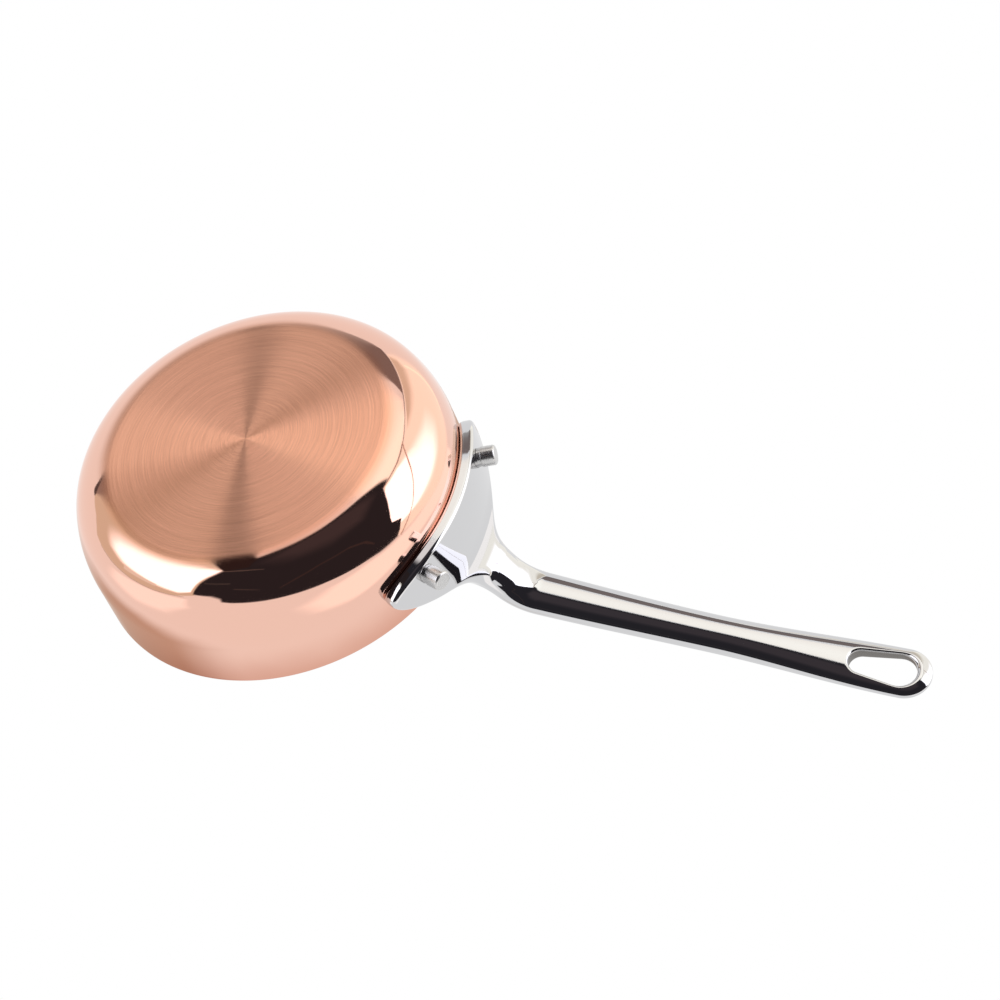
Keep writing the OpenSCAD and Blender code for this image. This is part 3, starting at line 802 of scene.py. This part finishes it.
def hole(k, share):
    """The teardrop hole, made wider by a share of its lip: two arcs and the straight sides between them."""
    more = share * lip(k)

    def near(a):
        return narrow_s + (narrow_r + more) * cos(a), (narrow_r + more) * sin(a)

    def far(a):
        return wide_s + (wide_r + more) * cos(a), (wide_r + more) * sin(a)

    if k <= face_count:
        return near(mix(-hole_turn, hole_turn - 2 * pi, k / face_count))
    if k <= tip_from:
        t, a, b = (k - face_count) / side_cuts, near(hole_turn), far(hole_turn)
        return mix(a[0], b[0], t), mix(a[1], b[1], t)
    if k < tip_to:
        return far(tip_angle(k))
    t, a, b = (k - tip_to) / side_cuts, far(-hole_turn), near(-hole_turn)
    return mix(a[0], b[0], t), mix(a[1], b[1], t)


def loop_sheet(side):
    """The loop's points on one side: rings from the outline to the lip, and then round the lip."""
    points = []
    for j in range(ring_cuts + lip_cuts + 1):
        turn = pi / 2 * max(j - ring_cuts, 0) / lip_cuts
        for k in range(outline_count):
            if j <= ring_cuts:
                t = 1 - cos(pi / 2 * j / ring_cuts)
                a, b = outline(k), hole(k, 1)
                s, w = mix(a[0], b[0], t), mix(a[1], b[1], t)
            else:
                s, w = hole(k, 1 - sin(turn))
            inset = half_width(s) - abs(w) if s < loop_s else loop_w / 2 - hypot(s - loop_s, w)
            r = min(s, loop_s)
            half = half_under(r) if side > 0 else half_over(r)
            drop = edge_drop(inset, edge_wide(r), edge_deep(r, half)) + lip(k) * (1 - cos(turn))
            points.append(on_casting(s, w, side * (half - drop)))
    return points


sheet_rows = ring_cuts + lip_cuts
under_start = last_ring + ring
over_start = under_start + (sheet_rows + 1) * outline_count
casting_points += loop_sheet(1) + loop_sheet(-1)


def under(j, k):
    """A point's number on the loop's underside, whose first ring shares the grip's last row."""
    m = k % outline_count
    return last_ring + m if j == 0 and m <= face_count else under_start + j * outline_count + m


def over(j, k):
    """The same on its other side."""
    m = k % outline_count
    return last_ring + ring - 1 - m if j == 0 and m <= face_count else over_start + j * outline_count + m


casting_faces = []
for i in range(len(stations) - 1):
    for k in range(ring):
        n = (k + 1) % ring
        casting_faces.append([i * ring + k, i * ring + n, (i + 1) * ring + n, (i + 1) * ring + k])
for j in range(sheet_rows):
    for k in range(outline_count):
        casting_faces.append([under(j, k), under(j, k + 1), under(j + 1, k + 1), under(j + 1, k)])
        casting_faces.append([over(j, k + 1), over(j, k), over(j + 1, k), over(j + 1, k + 1)])
for k in range(outline_count):
    lip_under, next_under = under(sheet_rows, k), under(sheet_rows, k + 1)
    casting_faces.append([lip_under, next_under, over(sheet_rows, k + 1), over(sheet_rows, k)])
    if k >= face_count:
        casting_faces.append([under(0, k + 1), under(0, k), over(0, k), over(0, k + 1)])
casting_mesh = bpy.data.meshes.new("cast_handle")
casting_mesh.from_pydata(casting_points, [], casting_faces)

# The hole's wall was left as cast and is rougher; its colour is painted dark grey, painted shade in the hole.
# At the flange's lower edge the two sides meet in one line, and their points are joined. The first row is cut
# in triangles, so that those lying on each other can be taken out.
polish_share, weld_gap = 0.6, 0.0001 * mm
unpolished_and_shaded = [0.0] * (last_ring + ring)
for side in range(2):
    for j in range(sheet_rows + 1):
        unpolished_and_shaded += [max(0.0, 1 - polish_share * (sheet_rows - j))] * outline_count
casting_mesh.attributes.new("unpolished_and_shaded", "FLOAT", "POINT").data.foreach_set("value", unpolished_and_shaded)
welded = bmesh.new()
welded.from_mesh(casting_mesh)
welded.faces.ensure_lookup_table()
bmesh.ops.triangulate(welded, faces=welded.faces[:ring])
bmesh.ops.remove_doubles(welded, verts=welded.verts, dist=weld_gap)
same_corners = {}
for face in welded.faces:
    same_corners.setdefault(frozenset(face.verts), []).append(face)
folded = [face for faces in same_corners.values() if len(faces) > 1 for face in faces]
bmesh.ops.delete(welded, geom=folded, context="FACES")
welded.to_mesh(casting_mesh)
welded.free()
casting = bpy.data.objects.new("cast_handle", casting_mesh)
bpy.context.scene.collection.objects.link(casting)
smooth(casting)
steel_colour, buffing_depth = (0.63, 0.63, 0.64), 0.1 * mm
shaded_cast_colour, cast_rough = (0.2, 0.19, 0.18), 0.42
bright, tree, metal = shade("bright_cast_steel", steel_colour, 0.05, 0.0)
place = node(tree, "TexCoord").outputs["Object"]
polish = node(tree, "TexNoise", Vector=place, Scale=60.0, Detail=4.0)
scuffs = node(tree, "TexNoise", Vector=place, Scale=700.0, Detail=5.0, Roughness=0.7)
polish_rough = fade(tree, polish.outputs["Fac"], 0.35, 0.75, 0.03, 0.06)
scuff_rough = fade(tree, scuffs.outputs["Fac"], 0.6, 0.8, 0.0, 0.08)
bright_rough = maths(tree, "ADD", polish_rough, scuff_rough)
skin_and_shade = node(tree, "Attribute", {"attribute_name": "unpolished_and_shaded"}).outputs["Fac"]
rough = node(tree, "Mix", {"data_type": "FLOAT"}, Factor=skin_and_shade, i2=bright_rough, i3=cast_rough)
tree.links.new(rough.outputs["Result"], metal.inputs["Roughness"])
# Painted shade: where the skin is left as cast, the steel's colour also turns dark grey.
tone = node(tree, "Mix", {"data_type": "RGBA"}, Factor=skin_and_shade)
tone.inputs[6].default_value = (*steel_colour, 1)
tone.inputs[7].default_value = (*shaded_cast_colour, 1)
tree.links.new(tone.outputs[2], metal.inputs["Base Color"])
buffed = node(tree, "Bump", Strength=0.12, Distance=buffing_depth, Height=polish.outputs["Fac"])
tree.links.new(buffed.outputs["Normal"], metal.inputs["Normal"])
casting.data.materials.append(bright)
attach(casting, "root")
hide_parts("handle")

# Two steel rivets hold the handle. Each has a low domed head inside the pan and a plain stub outside, which
# stands on a small seat cut into the flange, with a narrower root and a rounded end.
shank_r, head_r, head_h, head_sunk = 3.2 * mm, 7 * mm, 2.4 * mm, 0.7 * mm
stub_r, stub_l, stub_edge_r = 4.1 * mm, 7.4 * mm, 1 * mm
root_r, root_l, root_fillet_l = 3.8 * mm, 1.6 * mm, 0.15 * mm
shoulder_edge, shoulder_t, dent_depth = 0.1 * mm, 0.02 * mm, 0.05 * mm
rivet_h, rivet_end_l, stub_seat_h = 8.3 * mm, 20.2 * mm, 0.3 * mm
rivet_cuts, head_cuts, stub_edge_cuts, flat_share = 96, 16, 10, 0.5
rivet_angle = (flange_w / 2 - rivet_end_l) / wall_r
seat_x = wall_r - copper_t - lining_t
stub_x = path_r + half_under(rivet_h) - stub_seat_h
root_end_x, end_x = stub_x + root_l, stub_x + stub_l
turned_steel, tree, metal = shade("turned_steel", (0.6, 0.595, 0.59), 0.3, 0.0)
place = node(tree, "TexCoord").outputs["Object"]
tumbled = node(tree, "TexNoise", Vector=place, Scale=420.0, Detail=4.0, Roughness=0.6)
tree.links.new(fade(tree, tumbled.outputs["Fac"], 0.3, 0.7, 0.27, 0.36), metal.inputs["Roughness"])
dents = node(tree, "Bump", Strength=0.35, Distance=dent_depth, Height=tumbled.outputs["Fac"])
tree.links.new(dents.outputs["Normal"], metal.inputs["Normal"])
crown_r = (head_r**2 + head_h**2) / (2 * head_h)
head_turns = [asin(head_r / crown_r) * i / head_cuts for i in range(head_cuts + 1)]
stub_turns = [pi / 2 * i / stub_edge_cuts for i in range(stub_edge_cuts + 1)]
rivet_profile = [(crown_r * sin(a), seat_x - head_h + crown_r * (1 - cos(a))) for a in head_turns]
rivet_profile += [(head_r, seat_x + head_sunk), (shank_r, seat_x + head_sunk), (shank_r, stub_x)]
rivet_profile += [(root_r, stub_x), (root_r, root_end_x - root_fillet_l)]
rivet_profile += [(root_r + shoulder_edge, root_end_x), (stub_r - shoulder_edge, root_end_x + shoulder_t)]
rivet_profile += [(stub_r, root_end_x + shoulder_t + shoulder_edge)]
stub_round = [(stub_r - stub_edge_r * (1 - cos(a)), end_x - stub_edge_r * (1 - sin(a))) for a in stub_turns]
rivet_profile += stub_round + [(stub_r * flat_share, end_x), (0.0, end_x)]
for side, rivet_name in ((-1, "rivet_left"), (1, "rivet_right")):
    rivet = spin(f"{rivet_name}_turned", rivet_profile, turns=rivet_cuts)
    rivet.data.transform(
        Matrix.Rotation(side * rivet_angle, 4, "Z")
        @ Matrix.Translation((0, 0, flange_z + rivet_h))
        @ Matrix.Rotation(pi / 2, 4, "Y")
    )
    smooth(rivet)
    rivet.data.materials.append(turned_steel)
    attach(rivet, "root")
    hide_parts(rivet_name)
